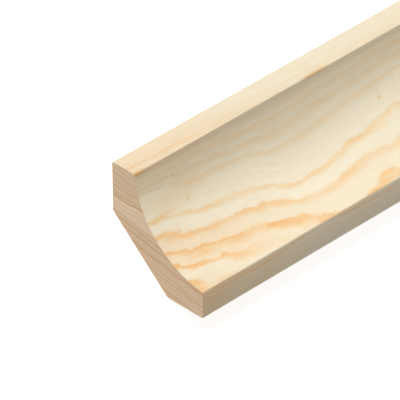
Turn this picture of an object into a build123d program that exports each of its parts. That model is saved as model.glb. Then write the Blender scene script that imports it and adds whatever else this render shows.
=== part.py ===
"""One stock length of pine scotia moulding: a planed bar with a hollow front between two square edges.

The section is drawn as the bar sits in use, with its wall face on the left and its floor face below.
Across is measured from the wall face and up is measured from the floor face.
The corner between those two faces is planed off, and unheld the bar lies on that sloping back.
So the section is turned until the back is level, with the hollow facing up.

Row frame: X runs along the bar, Z is up, and the origin is the middle of the box's underside.
"""

import os
from math import atan2, cos, sin

from build123d import *

# Driving dimensions, in millimetres
stock_length = 2400.0  # a length that pine mouldings are sold in
floor_leg = 28.0  # from the wall face across to the front edge
wall_leg = 28.0  # from the floor face up to the top edge
top_edge = 7.0  # width of the square edge along the top
front_edge = 7.0  # height of the square edge along the front
hollow_radius = 22.75  # of the cutter that makes the hollow
wall_flat = 13.0  # height of the face that is fixed to the wall
floor_flat = 11.2  # width of the face that sits on the floor
arris_radius = 0.3  # to which sanding eases every long edge

# The back slopes from the wall face's lower end to the floor face's rear end
back_rise = wall_leg - wall_flat
back_run = floor_leg - floor_flat
back_slope = atan2(back_rise, back_run)

# Turning the section by the back's slope lays the back level
turn_sin = sin(back_slope)
turn_cos = cos(back_slope)
across_direction = (0, -turn_cos, turn_sin)
near_end_direction = (-1, 0, 0)

# The corner that was planed off lies below the back, and the wall's and the front's extremes are centred
corner_y = (floor_leg * turn_cos - wall_leg * turn_sin) / 2
corner_z = -back_rise * turn_cos
section_plane = Plane(origin=(0, corner_y, corner_z), x_dir=across_direction, z_dir=near_end_direction)

with BuildPart() as scotia_moulding:
    with BuildSketch(section_plane) as section:
        with BuildLine() as outline:
            hollow = RadiusArc((floor_leg, front_edge), (top_edge, wall_leg), hollow_radius)
            Polyline(
                hollow @ 1,
                (0, wall_leg),
                (0, back_rise),
                (back_run, 0),
                (floor_leg, 0),
                hollow @ 0,
            )
        make_face()
        fillet(section.vertices(), radius=arris_radius)
    extrude(amount=stock_length / 2, both=True)

scotia_moulding.part.label = "scotia_moulding"

os.makedirs("parts", exist_ok=True)
export_step(scotia_moulding.part, "parts/scotia_moulding.step")
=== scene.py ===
"""One length of planed pine scotia moulding, lying on its bevelled back on a white floor.

The bar is modelled as a joiner's machine makes it: a square planed bar, its back corner planed off,
a round cutter run along its front, and every edge eased. Its grain is one field of growth rings that
runs through the whole bar, so a line on the sawn end meets its own line in the hollow.

Places are given as the bar sits in use: across from the wall face, up from the floor face, and along
from the near end. The row frame has X along the bar and Z up, with the hollow facing up.
"""

import logging
import math
from dataclasses import dataclass, field
from functools import partial
from typing import Any

import bpy
from mathutils import Matrix, Vector


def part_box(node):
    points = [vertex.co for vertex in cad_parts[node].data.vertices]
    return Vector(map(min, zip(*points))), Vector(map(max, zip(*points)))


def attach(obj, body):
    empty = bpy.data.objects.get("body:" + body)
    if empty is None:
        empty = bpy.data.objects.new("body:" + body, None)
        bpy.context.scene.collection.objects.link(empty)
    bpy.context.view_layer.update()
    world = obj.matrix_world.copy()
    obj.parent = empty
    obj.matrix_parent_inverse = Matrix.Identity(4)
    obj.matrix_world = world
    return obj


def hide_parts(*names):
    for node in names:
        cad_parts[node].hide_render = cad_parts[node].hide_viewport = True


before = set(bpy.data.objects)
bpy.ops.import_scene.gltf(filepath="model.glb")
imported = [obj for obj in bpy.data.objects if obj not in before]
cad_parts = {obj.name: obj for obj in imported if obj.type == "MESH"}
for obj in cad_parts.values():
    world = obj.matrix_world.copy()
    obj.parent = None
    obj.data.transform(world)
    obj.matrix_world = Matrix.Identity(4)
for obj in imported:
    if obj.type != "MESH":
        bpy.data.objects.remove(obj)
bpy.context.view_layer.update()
NODE = "scotia_moulding"
BODY = "root"
MM = 0.001
# A face whose normal has more than this along the bar is a sawn end
END_NORMAL = 0.5
# A colour Mix node's inputs, whose names its other inputs share
MIX_SHARE, MIX_UNDER, MIX_OVER = 0, 6, 7
# Places, heights or shares, from the lowest up, each with its amount
Table = tuple[tuple[float, float], ...]
# An amount, colour or vector in a material: one output of a node, or a node for its first one in use
Source = bpy.types.Node | bpy.types.NodeSocket

log = logging.getLogger("scotia")


def to_linear(hex_colour: str) -> tuple[float, float, float, float]:
    """Turns an sRGB hex colour into the linear colour that Blender's sockets take.

    Args:
        hex_colour: Six hex digits, such as "f3e6c6".

    Returns:
        Red, green, blue and an alpha of 1.
    """
    # The sRGB curve is straight up to a share of 0.04045, and a power of 2.4 above it
    channels = []
    for start in (0, 2, 4):
        share = int(hex_colour[start:start + 2], 16) / 255
        channels.append(share / 12.92 if share <= 0.04045 else ((share + 0.055) / 1.055) ** 2.4)
    return (*channels, 1.0)


def add_node(
    tree: bpy.types.NodeTree,
    kind: str,
    settings: dict[str, Any] | None = None,
    inputs: dict[str | int, Any] | None = None,
    points: list[tuple[float, Any]] | None = None,
) -> bpy.types.Node:
    """Adds one node with its settings, its input values or links, and its curve points or ramp stops.

    Args:
        tree: The node tree that gets the node.
        kind: The node's type name.
        settings: Properties of the node itself.
        inputs: A value or another node's output for each input, by its name or number. A node stands
            for its first output in use.
        points: For a curve, places and heights; for a colour ramp, places and colours.

    Returns:
        The new node.
    """
    node = tree.nodes.new(kind)
    for name, value in (settings or {}).items():
        setattr(node, name, value)
    for key, value in (inputs or {}).items():
        if isinstance(value, bpy.types.Node):
            value = next(output for output in value.outputs if output.enabled)
        if isinstance(value, bpy.types.NodeSocket):
            tree.links.new(value, node.inputs[key])
        else:
            node.inputs[key].default_value = value
    if points and hasattr(node, "mapping"):
        curve = node.mapping.curves[0]
        for spare, (place, height) in zip(list(curve.points), (points[0], points[-1])):
            spare.location = (place, height)
        for place, height in points[1:-1]:
            curve.points.new(place, height)
        node.mapping.update()
    elif points:
        stops = node.color_ramp.elements
        stops[0].position, stops[0].color = points[0]
        stops[1].position, stops[1].color = points[1]
        for place, colour in points[2:]:
            stops.new(place).color = colour
    return node


@dataclass(frozen=True)
class Section:
    """The moulding's section as it sits in use, in millimetres."""

    leg: float = 28.0
    top_edge: float = 7.0
    front_edge: float = 7.0
    hollow_radius: float = 22.75
    wall_flat: float = 13.0
    floor_flat: float = 11.2
    arris_radius: float = 0.3

    @property
    def slope(self) -> float:
        """Angle of the bevelled back to the floor face, in radians."""
        return math.atan2(self.leg - self.wall_flat, self.leg - self.floor_flat)

    @property
    def hollow_centre(self) -> tuple[float, float]:
        """Where the cutter's centre passes, across and up."""
        half_chord = math.hypot(self.leg - self.top_edge, self.leg - self.front_edge) / 2
        reach = math.sqrt(self.hollow_radius**2 - half_chord**2) / math.sqrt(2)
        return (self.top_edge + self.leg) / 2 + reach, (self.front_edge + self.leg) / 2 + reach

    @property
    def corner(self) -> tuple[float, float]:
        """Row-frame y and z of the corner between the wall and floor faces, which is planed off."""
        across_extreme = self.leg * (math.cos(self.slope) - math.sin(self.slope)) / 2
        return across_extreme, -(self.leg - self.wall_flat) * math.cos(self.slope)

    def place(self, across: float, up: float) -> tuple[float, float]:
        """Turns a place in the section into row-frame y and z.

        Args:
            across: Distance from the wall face.
            up: Distance from the floor face.

        Returns:
            y and z in metres.
        """
        y_corner, z_corner = self.corner
        sine, cosine = math.sin(self.slope), math.cos(self.slope)
        y = y_corner - across * cosine + up * sine
        z = z_corner + across * sine + up * cosine
        return y * MM, z * MM

    def long_edges(self) -> list[tuple[float, float, float]]:
        """Each long edge of the bar: across, up, and the angle through which the surface turns there."""
        right = math.pi / 2
        lead_in = math.asin((self.hollow_centre[0] - self.leg) / self.hollow_radius)
        return [
            (0.0, self.leg, right),
            (self.top_edge, self.leg, right - lead_in),
            (self.leg, self.front_edge, right - lead_in),
            (self.leg, 0.0, right),
            (self.leg - self.floor_flat, 0.0, self.slope),
            (0.0, self.leg - self.wall_flat, right - self.slope),
        ]


@dataclass(frozen=True)
class Ring:
    """One year's dense summer wood: a thin layer in the stack of rings.

    Args:
        top: Height of its upper side, in millimetres.
        thickness: How far it reaches down from there, in millimetres.
        strength: How clearly it shows, from 0 to 1.
        lasting: Share of that strength left further along the board.
    """

    top: float
    thickness: float
    strength: float
    lasting: float = 1.0


@dataclass(frozen=True)
class Swell:
    """A place along the bar where the rings rise or dip.

    Args:
        along: Its share, from 0 to 1, at each distance from the near end.
        felt: How far it moves a ring, by the ring's height.
        rises: Whether it moves the rings up.
    """

    along: Table
    felt: Table
    rises: bool


@dataclass(frozen=True)
class Unevenness:
    """A smooth random variation in the wood.

    Args:
        lengths: Its size along, across and up, in millimetres.
        seed: Picks one pattern of many.
        values: The least and the greatest value that it takes.
        spread: The random amounts, 0.5 on average, at which it takes them.
        detail: How many finer layers it has.
    """

    lengths: tuple[float, float, float]
    seed: float
    values: tuple[float, float]
    spread: tuple[float, float] = (0.0, 1.0)
    detail: float = 2.0


@dataclass(frozen=True)
class GrainPlan:
    """Growth rings of the board that the bar was cut from, in millimetres.

    The rings lie nearly level and fall towards the front. Behind the near end they sweep down
    steeply, dip again, and rise slowly. Rings near the top edge stay nearly straight.
    """

    # Height of the stack of rings
    reach: float = 36.0
    # Planed along the grain, only some rings show as bands
    on_faces: tuple[Ring, ...] = (
        Ring(2.4, 0.6, 0.3),
        Ring(2.95, 0.4, 0.7),
        Ring(3.45, 0.3, 0.5),
        Ring(4.0, 0.45, 0.8),
        Ring(5.8, 0.6, 0.25),
        Ring(7.0, 0.6, 0.2),
        Ring(8.0, 0.5, 0.35),
        Ring(9.55, 0.55, 0.85),
        Ring(10.0, 0.4, 0.5),
        Ring(10.5, 0.5, 0.85),
        Ring(11.53, 0.44, 1.0, 0.2),
        Ring(12.33, 0.66, 1.0),
        Ring(14.1, 1.05, 0.75),
        Ring(16.4, 1.15, 0.7),
        Ring(18.3, 0.9, 0.16),
        Ring(19.4, 0.8, 0.14),
        Ring(21.7, 1.5, 0.47),
        Ring(24.2, 2.1, 0.46),
        Ring(26.6, 2.0, 0.47),
        Ring(27.9, 1.2, 0.3),
        Ring(28.5, 0.1, 0.45),
        Ring(28.66, 0.1, 0.4),
        Ring(28.82, 0.12, 1.0, 0.6),
        Ring(28.95, 0.1, 0.6),
        Ring(36.0, 0.6, 0.4),
    )
    # Sawn across, every ring shows as a thin line
    on_ends: tuple[Ring, ...] = (
        Ring(1.3, 0.4, 0.6),
        Ring(2.5, 0.35, 0.5),
        Ring(3.4, 0.3, 0.4),
        Ring(4.55, 0.45, 0.7),
        Ring(5.3, 0.3, 0.35),
        Ring(6.2, 0.4, 0.6),
        Ring(6.8, 0.25, 0.35),
        Ring(7.45, 0.4, 0.7),
        Ring(8.2, 0.3, 0.4),
        Ring(9.15, 0.4, 0.65),
        Ring(9.9, 0.3, 0.4),
        Ring(10.9, 0.5, 1.0),
        Ring(11.5, 0.3, 0.5),
        Ring(12.2, 0.35, 0.5),
        Ring(13.3, 0.4, 0.75),
        Ring(14.0, 0.3, 0.45),
        Ring(14.8, 0.35, 0.65),
        Ring(15.8, 0.3, 0.5),
        Ring(17.2, 0.3, 0.15),
        Ring(18.4, 0.3, 0.1),
        Ring(19.65, 0.45, 1.0),
        Ring(20.3, 0.3, 0.6),
        Ring(21.1, 0.35, 0.7),
        Ring(22.0, 0.3, 0.4),
        Ring(22.6, 0.35, 0.6),
        Ring(23.4, 0.3, 0.4),
        Ring(24.2, 0.35, 0.5),
        Ring(25.0, 0.3, 0.4),
        Ring(25.75, 0.4, 0.6),
        Ring(26.6, 0.3, 0.4),
        Ring(27.4, 0.35, 0.5),
        Ring(36.0, 0.3, 0.3),
    )
    # How far the rings have fallen from their height at the wall face, at each distance across
    fall: Table = ((0, 0.0), (12, 1.92), (24, 3.84), (26, 4.09), (28, 4.2))
    # Past the first of these distances along, a ring starts to fade to its lasting share
    fading: tuple[float, float] = (13.0, 22.0)
    # Further along, long waves lift and lower the rings, in this share
    wander: Unevenness = Unevenness((150.0, 60.0, 60.0), 21.0, (-7.0, 7.0))
    wander_share: Table = ((0, 0.0), (85, 0.0), (180, 1.0), (2400, 1.0))
    # Small waves that leave the edges of the rings jagged, in millimetres
    waves: tuple[Unevenness, ...] = (
        Unevenness((10.0, 9.0, 9.0), 2.0, (-1.1, 1.1)),
        Unevenness((3.2, 2.4, 2.4), 5.0, (-0.5, 0.5)),
        Unevenness((2.0, 1.0, 1.0), 7.0, (-0.4, 0.4)),
    )
    swells: tuple[Swell, ...] = (
        # The steep sweep behind the near end
        Swell(
            (
                (0, 1.0), (4, 0.83), (8, 0.6), (12, 0.3), (16, 0.04), (20, 0.0), (24, 0.06), (28, 0.0),
                (100, 0.0),
            ),
            (
                (3, 0.3), (10, 0.6), (11, 0.75), (11.6, 1.1), (12.5, 1.25), (13.3, 1.5), (14.0, 1.62),
                (14.75, 1.7), (15.3, 2.0), (15.8, 2.3), (16.8, 2.55), (17.5, 2.6), (18.6, 2.6), (19.5, 3.3),
                (20.4, 4.0), (21.2, 4.5), (22, 4.3), (24, 2.6), (26, 0.6), (28, 0.0), (36, 0.0),
            ),
            True,
        ),
        # The dip beyond it
        Swell(
            (
                (0, 0.0), (22, 0.0), (28, 0.2), (32, 0.42), (36, 0.67), (40, 0.98), (44, 1.0), (48, 0.97),
                (52, 0.8), (57, 0.64), (66, 0.42), (71, 0.34), (76, 0.12), (85, 0.0), (100, 0.0),
            ),
            (
                (3, 0.0), (10, 0.1), (10.8, 0.9), (11.2, 1.17), (11.6, 1.4), (12, 1.9), (13, 2.2),
                (13.8, 2.6), (16, 2.5), (19, 2.3), (21, 1.5), (23, 1.0), (26, 1.0), (28, 0.0), (36, 0.0),
            ),
            False,
        ),
        # Low down by the front edge, the rings rise where those above them dip
        Swell(
            (
                (0, 0.0), (24, 0.05), (29, 0.5), (34, 0.8), (39, 1.0), (43, 0.6), (50, 0.25), (62, 0.0),
                (100, 0.0),
            ),
            ((3, 0.0), (7, 0.3), (9.3, 1.4), (10.7, 1.6), (11.15, 0.0), (36, 0.0)),
            True,
        ),
        # A low ring falls sooner than its neighbours behind the near end
        Swell(
            ((0, 0.6), (2, 0.85), (5, 1.0), (8, 0.92), (11.4, 0.5), (14, 0.0), (100, 0.0)),
            ((3, 0.0), (11.55, 0.0), (11.75, 0.35), (12.3, 0.36), (12.8, 0.0), (36, 0.0)),
            False,
        ),
        # The middle rings start their dip a little later
        Swell(
            ((0, 0.0), (24, 0.0), (28, 0.6), (31, 1.0), (35, 0.5), (39, 0.0), (100, 0.0)),
            (
                (3, 0.0), (12.2, 0.0), (13, 0.25), (14.2, 0.4), (15.5, 0.4), (17, 0.3), (19, 0.1),
                (21, 0.0), (36, 0.0),
            ),
            True,
        ),
        # The ring that runs out over the front arris comes to it later still
        Swell(
            ((0, 0.0), (31, 0.0), (35, 0.8), (38, 1.0), (41, 0.75), (44, 0.4), (48, 0.0), (100, 0.0)),
            ((3, 0.0), (10.9, 0.0), (11.2, 0.2), (11.6, 0.33), (12.1, 0.15), (12.8, 0.0), (36, 0.0)),
            True,
        ),
        # The fine lines on the top edge run out over its front arris
        Swell(
            ((0, 0.0), (10, 0.05), (20, 0.25), (30, 0.55), (38, 0.8), (45, 1.0), (100, 1.0)),
            ((3, 0.0), (27.9, 0.0), (28.3, 0.29), (29.3, 0.29), (36, 0.29)),
            True,
        ),
        # A last hollow that only the middle rings follow
        Swell(
            ((0, 0.0), (60, 0.0), (68, 0.55), (72, 0.55), (78, 0.9), (90, 0.6), (110, 0.0)),
            ((3, 0.0), (8, 0.0), (11.5, 0.9), (14.2, 0.8), (15.4, 0.0), (36, 0.0)),
            False,
        ),
    )
    # How clearly summer wood shows at each distance along
    ripeness: Table = ((0, 1.0), (30, 1.0), (42, 0.95), (100, 0.95), (150, 1.0), (2400, 1.0))
    # How much of it shows as loose blotches at each height
    blotchiness: Table = (
        (0, 0.3), (10, 0.2), (12, 0.0), (16, 0.1), (19, 0.1), (21, 0.35), (27, 0.4), (28, 0.3), (36, 0.3),
    )
    # How rosy the spring wood is at each height
    blush: Table = (
        (0, 1.1), (10, 1.1), (10.9, 0.3), (11.3, 0.8), (12, 1.0), (13.6, 0.9), (14.2, 0.5), (14.8, 0.1),
        (16.2, 0.1), (17, 0.3), (19, 0.2), (21, 0.3), (22, 0.4), (27, 0.42), (28, 0.8), (36, 0.8),
    )
    # Share of that rosiness at each distance from the near end
    blush_along: Table = ((0, 1.0), (15, 0.95), (25, 0.7), (40, 0.4), (100, 0.4), (250, 0.7), (2400, 0.7))
    # How light the spring wood is drawn at each height, mostly painted light and shade: painted shade
    # darkens the front face below 10 mm and the upper hollow near 21 to 24 mm, and painted light brightens
    # the middle of the hollow at 14.5 to 18 mm
    lightness: Table = (
        (0, 0.94), (10, 0.94), (11.2, 0.99), (13.6, 1.01), (14.5, 1.03), (18, 1.03), (21, 0.97),
        (24, 0.95), (27, 1.0), (28.2, 0.93), (36, 0.93),
    )
    # How far the rings on a sawn end bend up beside the hollow, and which of them do
    end_lift: Table = ((0, 0.0), (5, 0.35), (9, 1.1), (28, 1.1))
    end_lift_felt: Table = ((0, 0.0), (16, 0.0), (19.3, 1.0), (21.5, 0.9), (24, 0.4), (28, 0.0), (36, 0.0))
    # How light a sawn end is at each level, and how clear its finest lines are
    end_lightness: Table = (
        (0, 0.97), (10, 0.98), (15.4, 0.98), (16.2, 1.02), (18.2, 1.03), (18.8, 1.08), (19.1, 1.14),
        (19.3, 1.0), (20.4, 0.98), (28, 0.98), (36, 0.98),
    )
    end_fineness: Table = (
        (0, 0.9), (10, 1.0), (15.5, 1.0), (16.3, 0.35), (19.3, 0.35), (19.7, 1.0), (28, 0.8), (36, 0.8),
    )
    # Share of the small waves that a ring gets at each height
    liveliness: Table = (
        (0, 0.6), (9, 0.2), (11.5, 0.25), (12.5, 0.5), (14, 0.7), (16, 0.9), (20, 1.1), (25, 1.1),
        (28, 0.1), (36, 0.1),
    )


@dataclass(frozen=True)
class Fleck:
    """A golden stain or mark in the wood, in millimetres.

    Args:
        place: Its place along, across and up.
        reach: How far it reaches from there in each of those directions.
        strength: How clearly it shows, from 0 to 1.
    """

    place: tuple[float, float, float]
    reach: tuple[float, float, float]
    strength: float


@dataclass(frozen=True)
class PlanedPine:
    """Scots pine, planed and lightly sanded, left unfinished.

    Spring wood is a pale cream, rosy in some years. Summer wood is a thin orange band. A sawn end
    drinks more light, so it is browner and its summer wood is a dark line.
    """

    grain: GrainPlan = field(default_factory=GrainPlan)
    spring_wood: str = "f5ebd2"
    spring_wood_rosy: str = "f5dfbd"
    # Summer wood is denser and holds more resin, which tints it orange, most of all in its core
    summer_tint: str = "ffe6c0"
    summer_core_tint: str = "fff0e6"
    core_density: float = 0.55
    end_wood: str = "e4cbab"
    end_summer_tint: str = "debb90"
    # Sanded bare wood has only a broad, weak sheen
    roughness: float = 0.62
    refraction: float = 1.5
    sheen: float = 0.3
    # Density of the summer wood from its upper side down to its lower side
    density: Table = ((0.0, 0.0), (0.12, 0.6), (0.28, 1.0), (0.55, 0.85), (0.8, 0.4), (1.0, 0.0))
    # A ring grows clearer and fainter by turns, about every centimetre
    patches: Unevenness = Unevenness((11.0, 2.5, 2.5), 9.0, (0.6, 1.25), (0.3, 0.7))
    # Where the planer cuts a ring nearly level, its summer wood breaks up a few millimetres at a time
    blotches: Unevenness = Unevenness((5.0, 1.6, 1.6), 12.0, (0.0, 1.0), (0.48, 0.72), 3.0)
    # Fibres are some 4 mm long and too thin to show, so they are drawn 0.6 mm wide
    fibres: Unevenness = Unevenness((5.0, 0.6, 0.6), 3.0, (0.965, 1.035), (0.2, 0.8), 3.0)
    # Sanding leaves them standing a few hundredths of a millimetre proud
    raised_fibres: Unevenness = Unevenness((7.0, 0.3, 0.3), 4.0, (0.0, 1.0), detail=3.0)
    raised_by: float = 0.03
    relief_strength: float = 0.5
    # On a sawn end the rings aren't quite even, and the saw blurs them in places
    end_drift: Unevenness = Unevenness((9.0, 5.0, 1.5), 11.0, (-0.25, 0.25), (0.2, 0.8))
    end_patches: Unevenness = Unevenness((5.0, 5.0, 2.0), 13.0, (0.7, 1.1), (0.3, 0.7))
    # Between the clear rings are fainter lines, which follow the rings, 1.9 to the millimetre
    end_lines: Unevenness = Unevenness((math.inf, math.inf, 1 / 1.9), 0.0, (0.0, 0.65), (0.46, 0.68), 1.5)
    # The cut ends of the fibres are a fine grit, drawn 0.35 mm wide so that it shows
    pores: Unevenness = Unevenness((0.35, 0.35, 0.35), 6.0, (0.93, 1.07), (0.25, 0.75))
    fleck_tint: str = "f7d498"
    # Share of a fleck's reach within which it is at its strongest
    fleck_core: float = 0.2
    flecks: tuple[Fleck, ...] = (
        Fleck((72.0, 11.7, 15.8), (0.9, 0.6, 0.6), 0.6),
        Fleck((72.2, 10.9, 17.0), (0.4, 1.2, 1.6), 0.2),
        Fleck((12.7, 10.6, 17.3), (0.8, 1.2, 1.3), 0.4),
        Fleck((10.7, 7.9, 23.2), (0.7, 0.4, 0.4), 0.3),
        Fleck((2.0, 28.0, 4.0), (10.0, 2.0, 4.5), 0.25),
        Fleck((4.0, 11.0, 16.7), (6.0, 0.9, 0.9), 0.5),
        Fleck((9.0, 9.7, 18.9), (14.0, 2.6, 3.0), 0.2),
        Fleck((8.0, 27.3, 7.1), (5.5, 0.9, 0.9), 0.35),
        Fleck((0.5, 7.0, 28.0), (4.5, 1.0, 1.2), 0.8),
        Fleck((56.0, 7.0, 28.0), (6.0, 0.9, 1.0), 0.7),
    )

    def build(self, section: Section, near_end: float) -> bpy.types.Material:
        """Makes the material.

        Args:
            section: The section, which places the rings.
            near_end: Row-frame x of the near end, in metres.

        Returns:
            The material.
        """
        material = bpy.data.materials.new("planed_scots_pine")
        material.use_nodes = True
        material.node_tree.nodes.clear()
        PineNodes(self, material.node_tree, section, near_end).join()
        return material


class PineNodes:
    """The nodes of the planed pine's material."""

    def __init__(
        self, pine: PlanedPine, tree: bpy.types.NodeTree, section: Section, near_end: float
    ) -> None:
        """Gives each point its place in use.

        Args:
            pine: The wood's looks.
            tree: The material's node tree.
            section: The section, which places the rings.
            near_end: Row-frame x of the near end, in metres.
        """
        self.pine = pine
        self.grain = pine.grain
        self.add = partial(add_node, tree)
        self.place = self.place_in_use(section, near_end)
        self.along, self.across, self.up = self.add("ShaderNodeSeparateXYZ", None, {0: self.place}).outputs

    def join(self) -> None:
        """Joins the colours of the faces and the ends, and the relief, in one shader."""
        level, height = self.ring_height()
        face_colour = self.face_colour(height)
        end_colour = self.end_colour(level)
        colour = self.add(
            "ShaderNodeMix",
            {"data_type": "RGBA"},
            {MIX_SHARE: self.sawn_end(), MIX_UNDER: face_colour, MIX_OVER: end_colour},
        )
        shader = self.add(
            "ShaderNodeBsdfPrincipled",
            None,
            {
                "Base Color": colour,
                "Roughness": self.pine.roughness,
                "IOR": self.pine.refraction,
                "Specular IOR Level": self.pine.sheen,
                "Normal": self.relief(),
            },
        )
        self.add("ShaderNodeOutputMaterial", None, {"Surface": shader})

    def place_in_use(self, section: Section, near_end: float) -> bpy.types.Node:
        """Gives each point its distance along, across and up in millimetres.

        Args:
            section: The section.
            near_end: Row-frame x of the near end, in metres.

        Returns:
            The node that gives them, as one vector.
        """
        y_corner, z_corner = section.corner
        sine, cosine = math.sin(section.slope), math.cos(section.slope)
        seat = self.add("ShaderNodeTexCoord")
        return self.add(
            "ShaderNodeMapping",
            {"vector_type": "POINT"},
            {
                "Vector": seat.outputs["Object"],
                "Location": (
                    -near_end / MM,
                    cosine * y_corner - sine * z_corner,
                    -sine * y_corner - cosine * z_corner,
                ),
                "Rotation": (-section.slope, 0, 0),
                "Scale": (1 / MM, -1 / MM, 1 / MM),
            },
        )

    def look_up(self, value: Source, table: Table) -> bpy.types.Node:
        """Reads a table, with a smooth curve between its amounts.

        Args:
            value: The place to read at.
            table: Places, from the lowest up, each with its amount.

        Returns:
            The node that gives the amount.
        """
        low, high = table[0][0], table[-1][0]
        most = max(amount for _, amount in table)
        share = self.add("ShaderNodeMapRange", None, {"Value": value, "From Min": low, "From Max": high})
        points = [((at - low) / (high - low), amount / most) for at, amount in table]
        curve = self.add("ShaderNodeFloatCurve", None, {"Value": share}, points)
        return self.add("ShaderNodeMath", {"operation": "MULTIPLY"}, {0: curve, 1: most})

    def vary(self, pattern: Unevenness) -> bpy.types.Node:
        """Gives an unevenness its value at each point.

        Args:
            pattern: The unevenness.

        Returns:
            The node that gives the value.
        """
        shares = self.add(
            "ShaderNodeVectorMath", {"operation": "DIVIDE"}, {0: self.place, 1: pattern.lengths}
        )
        amount = self.add(
            "ShaderNodeTexNoise",
            {"noise_dimensions": "4D"},
            {"Vector": shares, "W": pattern.seed, "Scale": 1.0, "Detail": pattern.detail},
        )
        return self.spread_out(amount, pattern)

    def spread_out(self, amount: Source, pattern: Unevenness) -> bpy.types.Node:
        """Turns a random amount into an unevenness's value.

        Args:
            amount: The random amount, 0.5 on average.
            pattern: The unevenness.

        Returns:
            The node that gives the value.
        """
        low, high = pattern.spread
        least, most = pattern.values
        return self.add(
            "ShaderNodeMapRange",
            None,
            {"Value": amount, "From Min": low, "From Max": high, "To Min": least, "To Max": most},
        )

    def ring_height(self) -> tuple[bpy.types.Node, bpy.types.Node]:
        """Gives each point its height in the stack of rings.

        Returns:
            Two nodes that give millimetres: the height where the board is level, which the sawn ends show,
            and the height with all waviness along the bar taken out.
        """
        plan = self.grain
        wander = self.add(
            "ShaderNodeMath",
            {"operation": "MULTIPLY_ADD"},
            {0: self.vary(plan.wander), 1: self.look_up(self.along, plan.wander_share), 2: self.up},
        )
        level = self.add(
            "ShaderNodeMath", {"operation": "ADD"}, {0: wander, 1: self.look_up(self.across, plan.fall)}
        )
        height = level
        for swell in plan.swells:
            shift = self.add(
                "ShaderNodeMath",
                {"operation": "MULTIPLY"},
                {0: self.look_up(self.along, swell.along), 1: self.look_up(level, swell.felt)},
            )
            height = self.add(
                "ShaderNodeMath", {"operation": "SUBTRACT" if swell.rises else "ADD"}, {0: height, 1: shift}
            )
        lively = self.look_up(level, plan.liveliness)
        for wave in plan.waves:
            height = self.add(
                "ShaderNodeMath", {"operation": "MULTIPLY_ADD"}, {0: self.vary(wave), 1: lively, 2: height}
            )
        return level, height

    def summer_wood(
        self, height: Source, rings: tuple[Ring, ...], swing: Source, far: Source | float
    ) -> bpy.types.Node:
        """Finds how much summer wood shows at each point.

        Args:
            height: Height in the stack of rings.
            rings: The rings that show, from the lowest up.
            swing: Share of each ring's strength that shows at the point.
            far: 0 near the near end, and 1 where only a ring's lasting share is left.

        Returns:
            The node that gives the amount, from 0 to 1.
        """
        reach = self.grain.reach
        share = self.add("ShaderNodeMapRange", None, {"Value": height, "From Max": reach})
        stops = []
        start = 0.0
        for ring in rings:
            stops.append((start, (ring.top / reach, ring.thickness / reach, ring.strength, ring.lasting)))
            start = ring.top / reach
        table = self.add("ShaderNodeValToRGB", None, {0: share}, stops)
        table.color_ramp.interpolation = "CONSTANT"
        top, thickness, strength = self.add("ShaderNodeSeparateColor", None, {0: table}).outputs
        depth = self.add("ShaderNodeMath", {"operation": "SUBTRACT"}, {0: top, 1: share})
        share_down = self.add("ShaderNodeMath", {"operation": "DIVIDE"}, {0: depth, 1: thickness})
        density = self.add("ShaderNodeFloatCurve", None, {"Value": share_down}, list(self.pine.density))
        amount = self.add("ShaderNodeMath", {"operation": "MULTIPLY"}, {0: density, 1: strength})
        lasting = self.add(
            "ShaderNodeMapRange", None, {"Value": far, "To Min": 1.0, "To Max": table.outputs["Alpha"]}
        )
        amount = self.add("ShaderNodeMath", {"operation": "MULTIPLY"}, {0: amount, 1: lasting})
        return self.add(
            "ShaderNodeMath", {"operation": "MULTIPLY", "use_clamp": True}, {0: amount, 1: swing}
        )

    def face_colour(self, height: Source) -> bpy.types.Node:
        """Colours the faces that run along the grain.

        Args:
            height: Height in the stack of rings.

        Returns:
            The node that gives the colour.
        """
        swing = self.add(
            "ShaderNodeMath",
            {"operation": "MULTIPLY"},
            {0: self.vary(self.pine.patches), 1: self.look_up(self.along, self.grain.ripeness)},
        )
        fade_start, fade_end = self.grain.fading
        far = self.add(
            "ShaderNodeMapRange", None, {"Value": self.along, "From Min": fade_start, "From Max": fade_end}
        )
        rings = self.summer_wood(height, self.grain.on_faces, swing, far)
        blotches = self.add(
            "ShaderNodeMath",
            {"operation": "MULTIPLY"},
            {0: self.vary(self.pine.blotches), 1: self.look_up(height, self.grain.blotchiness)},
        )
        summer = self.add("ShaderNodeMath", {"operation": "MAXIMUM"}, {0: rings, 1: blotches})
        rosy = self.add(
            "ShaderNodeMath",
            {"operation": "MULTIPLY"},
            {0: self.look_up(height, self.grain.blush), 1: self.look_up(self.along, self.grain.blush_along)},
        )
        colour = self.add(
            "ShaderNodeMix",
            {"data_type": "RGBA"},
            {
                MIX_SHARE: rosy,
                MIX_UNDER: to_linear(self.pine.spring_wood),
                MIX_OVER: to_linear(self.pine.spring_wood_rosy),
            },
        )
        core = self.add("ShaderNodeMapRange", None, {"Value": summer, "From Min": self.pine.core_density})
        for amount, tint in ((summer, self.pine.summer_tint), (core, self.pine.summer_core_tint)):
            colour = self.add(
                "ShaderNodeMix",
                {"data_type": "RGBA", "blend_type": "MULTIPLY"},
                {MIX_SHARE: amount, MIX_UNDER: colour, MIX_OVER: to_linear(tint)},
            )
        for fleck in self.pine.flecks:
            colour = self.stain(colour, fleck)
        # The fibres' random tone times the lightness table, which carries painted shade on the front face
        # and upper hollow and painted light in the middle of the hollow
        lightness = self.add(
            "ShaderNodeMath",
            {"operation": "MULTIPLY"},
            {0: self.vary(self.pine.fibres), 1: self.look_up(height, self.grain.lightness)},
        )
        return self.add("ShaderNodeVectorMath", {"operation": "SCALE"}, {0: colour, "Scale": lightness})

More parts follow.
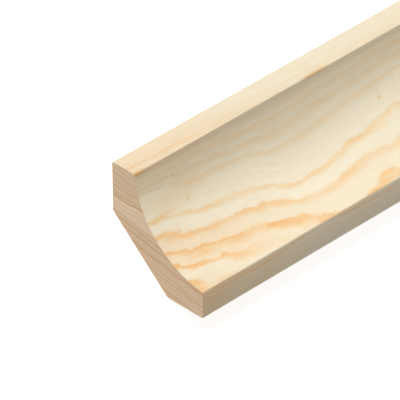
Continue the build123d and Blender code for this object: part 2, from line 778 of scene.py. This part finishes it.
    def stain(self, colour: Source, fleck: Fleck) -> bpy.types.Node:
        """Tints the wood within a fleck's reach.

        Args:
            colour: The wood's colour without the fleck.
            fleck: The fleck.

        Returns:
            The node that gives the colour.
        """
        apart = self.add("ShaderNodeVectorMath", {"operation": "SUBTRACT"}, {0: self.place, 1: fleck.place})
        share = self.add("ShaderNodeVectorMath", {"operation": "DIVIDE"}, {0: apart, 1: fleck.reach})
        out = self.add("ShaderNodeVectorMath", {"operation": "LENGTH"}, {0: share})
        mark = self.add(
            "ShaderNodeMapRange",
            None,
            {"Value": out, "From Min": 1.0, "From Max": self.pine.fleck_core, "To Max": fleck.strength},
        )
        return self.add(
            "ShaderNodeMix",
            {"data_type": "RGBA", "blend_type": "MULTIPLY"},
            {MIX_SHARE: mark, MIX_UNDER: colour, MIX_OVER: to_linear(self.pine.fleck_tint)},
        )

    def end_colour(self, level: Source) -> bpy.types.Node:
        """Colours the sawn ends.

        Args:
            level: Height in the stack of rings.

        Returns:
            The node that gives the colour.
        """
        lift = self.add(
            "ShaderNodeMath",
            {"operation": "MULTIPLY"},
            {
                0: self.look_up(self.across, self.grain.end_lift),
                1: self.look_up(level, self.grain.end_lift_felt),
            },
        )
        level = self.add("ShaderNodeMath", {"operation": "SUBTRACT"}, {0: level, 1: lift})
        drift = self.vary(self.pine.end_drift)
        height = self.add("ShaderNodeMath", {"operation": "ADD"}, {0: level, 1: drift})
        patches = self.vary(self.pine.end_patches)
        summer = self.summer_wood(height, self.grain.on_ends, patches, 0.0)
        _, _, spacing = self.pine.end_lines.lengths
        fine_rings = self.add(
            "ShaderNodeTexNoise",
            {"noise_dimensions": "1D"},
            {"W": height, "Scale": 1 / spacing, "Detail": self.pine.end_lines.detail},
        )
        faint = self.add(
            "ShaderNodeMath",
            {"operation": "MULTIPLY"},
            {
                0: self.spread_out(fine_rings, self.pine.end_lines),
                1: self.look_up(level, self.grain.end_fineness),
            },
        )
        lines = self.add("ShaderNodeMath", {"operation": "MAXIMUM"}, {0: summer, 1: faint})
        lined = self.add(
            "ShaderNodeMix",
            {"data_type": "RGBA", "blend_type": "MULTIPLY"},
            {
                MIX_SHARE: lines,
                MIX_UNDER: to_linear(self.pine.end_wood),
                MIX_OVER: to_linear(self.pine.end_summer_tint),
            },
        )
        lightness = self.add(
            "ShaderNodeMath",
            {"operation": "MULTIPLY"},
            {0: self.vary(self.pine.pores), 1: self.look_up(level, self.grain.end_lightness)},
        )
        return self.add("ShaderNodeVectorMath", {"operation": "SCALE"}, {0: lined, "Scale": lightness})

    def sawn_end(self) -> bpy.types.Node:
        """Is 1 on the sawn ends and 0 on the long faces."""
        facing = self.add("ShaderNodeTexCoord").outputs["Normal"]
        endways = self.add("ShaderNodeSeparateXYZ", None, {0: facing}).outputs["X"]
        size = self.add("ShaderNodeMath", {"operation": "ABSOLUTE"}, {0: endways})
        return self.add("ShaderNodeMath", {"operation": "GREATER_THAN"}, {0: size, 1: END_NORMAL})

    def relief(self) -> bpy.types.Node:
        """Raises the fibres that sanding leaves, and gives the bumped normal."""
        return self.add(
            "ShaderNodeBump",
            None,
            {
                "Height": self.vary(self.pine.raised_fibres),
                "Distance": self.pine.raised_by * MM,
                "Strength": self.pine.relief_strength,
            },
        )


@dataclass(frozen=True)
class Stretch:
    """One stretch of the bar's skin, and its place on the texture sheet.

    Args:
        start: Where it starts, in millimetres from the near end.
        end: Where it ends.
        left: Left side of its place on the sheet, in pixels.
        bottom: Lower side of its place.
        width: How many pixels its length gets.
        height: How many pixels the way round the section gets.
    """

    start: float
    end: float
    left: float
    bottom: float
    width: float
    height: float


@dataclass(frozen=True)
class SkinMap:
    """The bar's skin laid flat on a square texture sheet.

    The bar is sixty times as long as it is wide, so its skin is cut across into stretches that lie
    side by side. The first one, which the photograph shows, gets three times the sharpness.
    """

    name: str = "OFBake"
    sheet: float = 1024.0
    stretches: tuple[Stretch, ...] = (
        Stretch(0.0, 100.0, 4.0, 556.0, 500.0, 464.0),
        Stretch(100.0, 387.5, 512.0, 556.0, 508.0, 180.0),
        Stretch(387.5, 675.0, 512.0, 740.0, 508.0, 180.0),
        Stretch(675.0, 1250.0, 4.0, 4.0, 1016.0, 180.0),
        Stretch(1250.0, 1825.0, 4.0, 188.0, 1016.0, 180.0),
        Stretch(1825.0, 2400.0, 4.0, 372.0, 1016.0, 180.0),
    )
    # Left and lower side of each sawn end's place, and the pixels that a millimetre gets there
    near_end_place: tuple[float, float] = (512.0, 928.0)
    far_end_place: tuple[float, float] = (716.0, 928.0)
    end_sharpness: float = 5.0

    def cut_across(self, bar: bpy.types.Object, near_end: float) -> None:
        """Cuts the bar's faces where one stretch ends and the next starts.

        Args:
            bar: The bar; not used.
            near_end: Row-frame x of the near end, in metres.
        """
        bpy.ops.object.mode_set(mode="EDIT")
        for stretch in self.stretches[1:]:
            bpy.ops.mesh.select_all(action="SELECT")
            bpy.ops.mesh.bisect(plane_co=(near_end + stretch.start * MM, 0, 0), plane_no=(1, 0, 0))
        bpy.ops.object.mode_set(mode="OBJECT")

    def way_round(self, bar: bpy.types.Object) -> list[tuple[float, float, float]]:
        """Walks round the near end from a corner that lies on the floor.

        Args:
            bar: The bar.

        Returns:
            Each corner's row-frame y and z, and its share of the way round.
        """
        # Low counts for more than sideways, so the walk starts where the back meets the wall face
        lowness = 3
        mesh = bar.data
        end = next(face for face in mesh.polygons if face.normal.x < -END_NORMAL)
        corners = [mesh.vertices[index].co for index in end.vertices]
        first = max(range(len(corners)), key=lambda at: corners[at].y - lowness * corners[at].z)
        corners = corners[first:] + corners[:first]
        steps = [(b - a).length for a, b in zip(corners, corners[1:] + corners[:1])]
        gone = 0.0
        walk = []
        for corner, step in zip(corners, steps):
            walk.append((corner.y, corner.z, gone / sum(steps)))
            gone += step
        return walk

    def share_round(self, walk: list[tuple[float, float, float]], place: Vector) -> float:
        """Finds a vertex's share of the way round the section.

        Args:
            walk: The corners of the section, from way_round.
            place: The vertex's place.

        Returns:
            The share, from 0 up to 1.
        """
        _, _, share = min(walk, key=lambda corner: math.hypot(corner[0] - place.y, corner[1] - place.z))
        return share

    def lay_flat(self, bar: bpy.types.Object, near_end: float) -> None:
        """Gives the bar its map.

        Args:
            bar: The bar, cut across.
            near_end: Row-frame x of the near end, in metres.
        """
        mesh = bar.data
        walk = self.way_round(bar)
        layer = mesh.uv_layers.new(name=self.name)
        for face in mesh.polygons:
            if abs(face.normal.x) > END_NORMAL:
                self.lay_end(mesh, face, layer)
            else:
                self.lay_side(mesh, face, layer, walk, near_end)

    def lay_end(
        self, mesh: bpy.types.Mesh, face: bpy.types.MeshPolygon, layer: bpy.types.MeshUVLoopLayer
    ) -> None:
        """Places a sawn end's corners on the sheet.

        Args:
            mesh: The bar's mesh.
            face: The end's face.
            layer: The map.
        """
        near = face.normal.x < 0
        left, bottom = self.near_end_place if near else self.far_end_place
        sides = [mesh.vertices[index].co.y for index in face.vertices]
        for index in face.loop_indices:
            place = mesh.vertices[mesh.loops[index].vertex_index].co
            aside = max(sides) - place.y if near else place.y - min(sides)
            across = left + aside / MM * self.end_sharpness
            up = bottom + place.z / MM * self.end_sharpness
            layer.data[index].uv = (across / self.sheet, up / self.sheet)

    def lay_side(
        self,
        mesh: bpy.types.Mesh,
        face: bpy.types.MeshPolygon,
        layer: bpy.types.MeshUVLoopLayer,
        walk: list[tuple[float, float, float]],
        near_end: float,
    ) -> None:
        """Places the corners of one long face on the sheet.

        Args:
            mesh: The bar's mesh.
            face: The long face.
            layer: The map.
            walk: The corners of the section, from way_round.
            near_end: Row-frame x of the near end, in metres.
        """
        middle = (face.center.x - near_end) / MM
        stretch = next(part for part in self.stretches if middle < part.end or part is self.stretches[-1])
        places = [mesh.vertices[mesh.loops[index].vertex_index].co for index in face.loop_indices]
        shares = [self.share_round(walk, place) for place in places]
        half_round = 0.5
        crosses_start = max(shares) - min(shares) > half_round
        for index, place, share in zip(face.loop_indices, places, shares):
            round_share = share + 1.0 if crosses_start and share < half_round else share
            along = ((place.x - near_end) / MM - stretch.start) / (stretch.end - stretch.start)
            across = stretch.left + along * stretch.width
            up = stretch.bottom + round_share * stretch.height
            layer.data[index].uv = (across / self.sheet, up / self.sheet)


@dataclass
class ScotiaBar:
    """The planed bar."""

    section: Section
    near_end: float
    far_end: float
    finish: PlanedPine
    skin: SkinMap = field(default_factory=SkinMap)
    cutter_sides: int = 256
    cutter_overrun: float = 10.0
    edge_steps: int = 4
    smooth_below: float = 30.0

    def build(self) -> bpy.types.Object:
        """Makes the bar and dresses it.

        Returns:
            The finished piece.
        """
        bar = self.planed_square()
        self.plane_off_back(bar)
        self.cut_hollow(bar)
        self.ease_long_edges(bar)
        self.skin.cut_across(bar, self.near_end)
        self.close_mesh(bar)
        self.skin.lay_flat(bar, self.near_end)
        bar.data.materials.clear()
        bar.data.materials.append(self.finish.build(self.section, self.near_end))
        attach(bar, BODY)
        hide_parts(NODE)
        return bar

    def planed_square(self) -> bpy.types.Object:
        """Adds the square bar, turned so that its bevel will lie on the floor."""
        leg = self.section.leg
        y, z = self.section.place(leg / 2, leg / 2)
        bpy.ops.object.select_all(action="DESELECT")
        bpy.ops.mesh.primitive_cube_add(
            size=1.0,
            calc_uvs=False,
            location=((self.near_end + self.far_end) / 2, y, z),
            rotation=(-self.section.slope, 0, 0),
            scale=(self.far_end - self.near_end, leg * MM, leg * MM),
        )
        bpy.ops.object.transform_apply(location=True, rotation=True, scale=True)
        bar = bpy.context.object
        bar.name = bar.data.name = "pine_scotia_bar"
        return bar

    def plane_off_back(self, bar: bpy.types.Object) -> None:
        """Cuts the corner that lies below the floor."""
        bpy.ops.object.mode_set(mode="EDIT")
        bpy.ops.mesh.select_all(action="SELECT")
        bpy.ops.mesh.bisect(plane_co=(0, 0, 0), plane_no=(0, 0, 1), use_fill=True, clear_inner=True)
        bpy.ops.object.mode_set(mode="OBJECT")

    def cut_hollow(self, bar: bpy.types.Object) -> None:
        """Runs the round cutter along the front."""
        y, z = self.section.place(*self.section.hollow_centre)
        bpy.ops.object.select_all(action="DESELECT")
        bpy.ops.mesh.primitive_cylinder_add(
            vertices=self.cutter_sides,
            calc_uvs=False,
            radius=self.section.hollow_radius * MM,
            depth=self.far_end - self.near_end + 2 * self.cutter_overrun * MM,
            location=((self.near_end + self.far_end) / 2, y, z),
            rotation=(0, math.pi / 2, 0),
        )
        cutter = bpy.context.object
        # A corner of the many-sided cutter points at the planed-off corner, so both edges are cut alike
        cutter.rotation_euler.rotate_axis("Z", math.pi / 4 - self.section.slope)
        bpy.ops.object.select_all(action="DESELECT")
        bar.select_set(True)
        bpy.context.view_layer.objects.active = bar
        cut = bar.modifiers.new("hollow", "BOOLEAN")
        cut.operation = "DIFFERENCE"
        cut.solver = "EXACT"
        cut.object = cutter
        bpy.ops.object.modifier_apply(modifier=cut.name)
        bpy.data.objects.remove(cutter)

    def ease_long_edges(self, bar: bpy.types.Object) -> None:
        """Rounds each long edge to the arris radius."""
        circular = 0.5
        for across, up, turn in self.section.long_edges():
            y, z = self.section.place(across, up)
            self.select_edges_at(bar, y, z)
            bpy.ops.object.mode_set(mode="EDIT")
            bpy.ops.mesh.bevel(
                offset=self.section.arris_radius * MM * math.tan(turn / 2),
                segments=self.edge_steps,
                profile=circular,
                affect="EDGES",
            )
            bpy.ops.object.mode_set(mode="OBJECT")

    def select_edges_at(self, bar: bpy.types.Object, y: float, z: float) -> None:
        """Selects the edge that runs along the bar at a place in the section.

        Args:
            bar: The bar.
            y: Row-frame y in metres.
            z: Row-frame z in metres.
        """
        near = 0.02 * MM
        mesh = bar.data
        bpy.ops.object.mode_set(mode="EDIT")
        bpy.ops.mesh.select_mode(type="EDGE")
        bpy.ops.mesh.select_all(action="DESELECT")
        bpy.ops.object.mode_set(mode="OBJECT")
        for edge in mesh.edges:
            ends = [mesh.vertices[index].co for index in edge.vertices]
            edge.select = all(math.hypot(end.y - y, end.z - z) < near for end in ends)

    def close_mesh(self, bar: bpy.types.Object) -> None:
        """Merges doubles, turns the faces outwards and smooths the rounds."""
        touching = 0.001 * MM
        bpy.ops.object.mode_set(mode="EDIT")
        bpy.ops.mesh.select_all(action="SELECT")
        bpy.ops.mesh.remove_doubles(threshold=touching)
        bpy.ops.mesh.normals_make_consistent(inside=False)
        bpy.ops.object.mode_set(mode="OBJECT")
        bpy.ops.object.shade_smooth_by_angle(angle=math.radians(self.smooth_below))


@dataclass
class Studio:
    """White floor, plain soft light and the camera.

    Lengths are in metres, apart from the lens and the sensor, which are in millimetres. Angles are in
    degrees.
    """

    floor_side: float = 40.0
    floor_gap: float = 0.00005
    floor_paint: str = "e8e8e8"
    # What the floor adds to its paint where it is seen, so that it is white with a faint shadow
    floor_glow: float = 0.75
    sky: str = "ffffff"
    # Light that comes from the key lamp and from the sky, as shares of a plain level
    key_share: float = 0.79
    sky_share: float = 0.27
    key_from: tuple[float, float, float] = (-0.3, 0.516, 0.802)
    key_softness: float = 30.0
    # The camera was fitted to the corners and long edges in the photograph
    aim: tuple[float, float, float] = (-1.18055, 0.003337, 0.002523)
    camera_distance: float = 1.30218
    heading: float = 5.1139
    pitch: float = -54.9871
    roll: float = 53.8638
    focal_length: float = 530.656
    sensor_width: float = 36.0
    clip_start: float = 0.05
    clip_end: float = 100.0

    def build(self) -> None:
        """Makes the floor, the light and the camera."""
        self.lay_floor()
        self.light()
        self.place_camera()

    def lay_floor(self) -> None:
        """Lays the white floor just under the bar."""
        bpy.ops.object.select_all(action="DESELECT")
        bpy.ops.mesh.primitive_plane_add(size=self.floor_side, location=(0, 0, -self.floor_gap))
        floor = bpy.context.object
        floor.name = "studio_floor"
        material = bpy.data.materials.new("white_floor_paint")
        material.use_nodes = True
        tree = material.node_tree
        tree.nodes.clear()
        paint = add_node(tree, "ShaderNodeBsdfDiffuse", None, {"Color": to_linear(self.floor_paint)})
        rays = add_node(tree, "ShaderNodeLightPath")
        seen = add_node(
            tree,
            "ShaderNodeMath",
            {"operation": "MAXIMUM"},
            {0: rays.outputs["Is Camera Ray"], 1: rays.outputs["Is Glossy Ray"]},
        )
        lift = add_node(tree, "ShaderNodeMath", {"operation": "MULTIPLY"}, {0: seen, 1: self.floor_glow})
        glow = add_node(tree, "ShaderNodeEmission", None, {"Strength": lift})
        both = add_node(tree, "ShaderNodeAddShader", None, {0: paint, 1: glow})
        add_node(tree, "ShaderNodeOutputMaterial", None, {"Surface": both})
        floor.data.materials.append(material)

    def light(self) -> None:
        """Sets the sky and one soft key light."""
        world = bpy.data.worlds.new("studio_sky")
        bpy.context.scene.world = world
        world.use_nodes = True
        tree = world.node_tree
        tree.nodes.clear()
        rays = add_node(tree, "ShaderNodeLightPath")
        strength = add_node(
            tree,
            "ShaderNodeMapRange",
            None,
            {"Value": rays.outputs["Is Camera Ray"], "To Min": self.sky_share},
        )
        sky = add_node(
            tree, "ShaderNodeBackground", None, {"Color": to_linear(self.sky), "Strength": strength}
        )
        add_node(tree, "ShaderNodeOutputWorld", None, {"Surface": sky})
        lamp = bpy.data.lights.new("key", "SUN")
        lamp.energy = self.key_share * math.pi
        lamp.angle = math.radians(self.key_softness)
        key = bpy.data.objects.new("key", lamp)
        key.rotation_mode = "QUATERNION"
        key.rotation_quaternion = Vector(self.key_from).to_track_quat("Z", "Y")
        bpy.context.collection.objects.link(key)

    def place_camera(self) -> None:
        """Puts the camera where the photograph was taken from."""
        heading, pitch, roll = (math.radians(turn) for turn in (self.heading, self.pitch, self.roll))
        ahead = Vector(
            (math.cos(pitch) * math.cos(heading), math.cos(pitch) * math.sin(heading), math.sin(pitch))
        )
        level_right = Vector((math.sin(heading), -math.cos(heading), 0))
        level_up = level_right.cross(ahead)
        right = math.cos(roll) * level_right + math.sin(roll) * level_up
        up = math.cos(roll) * level_up - math.sin(roll) * level_right
        lens = bpy.data.cameras.new("camera")
        lens.lens = self.focal_length
        lens.sensor_width = self.sensor_width
        lens.clip_start = self.clip_start
        lens.clip_end = self.clip_end
        camera = bpy.data.objects.new("camera", lens)
        camera.rotation_mode = "QUATERNION"
        turn = Matrix((right, up, -ahead)).transposed()
        camera.rotation_quaternion = turn.to_quaternion()
        camera.location = Vector(self.aim) - self.camera_distance * ahead
        bpy.context.collection.objects.link(camera)
        bpy.context.scene.camera = camera


def main() -> None:
    """Builds the bar and the studio."""
    logging.basicConfig(level=logging.INFO, format="%(name)s: %(message)s")
    low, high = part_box(NODE)
    bpy.context.scene.view_settings.view_transform = "Standard"
    bar = ScotiaBar(Section(), low[0], high[0], PlanedPine()).build()
    log.info("%s: %d faces", bar.name, len(bar.data.polygons))
    Studio().build()


if __name__ == "__main__":
    main()
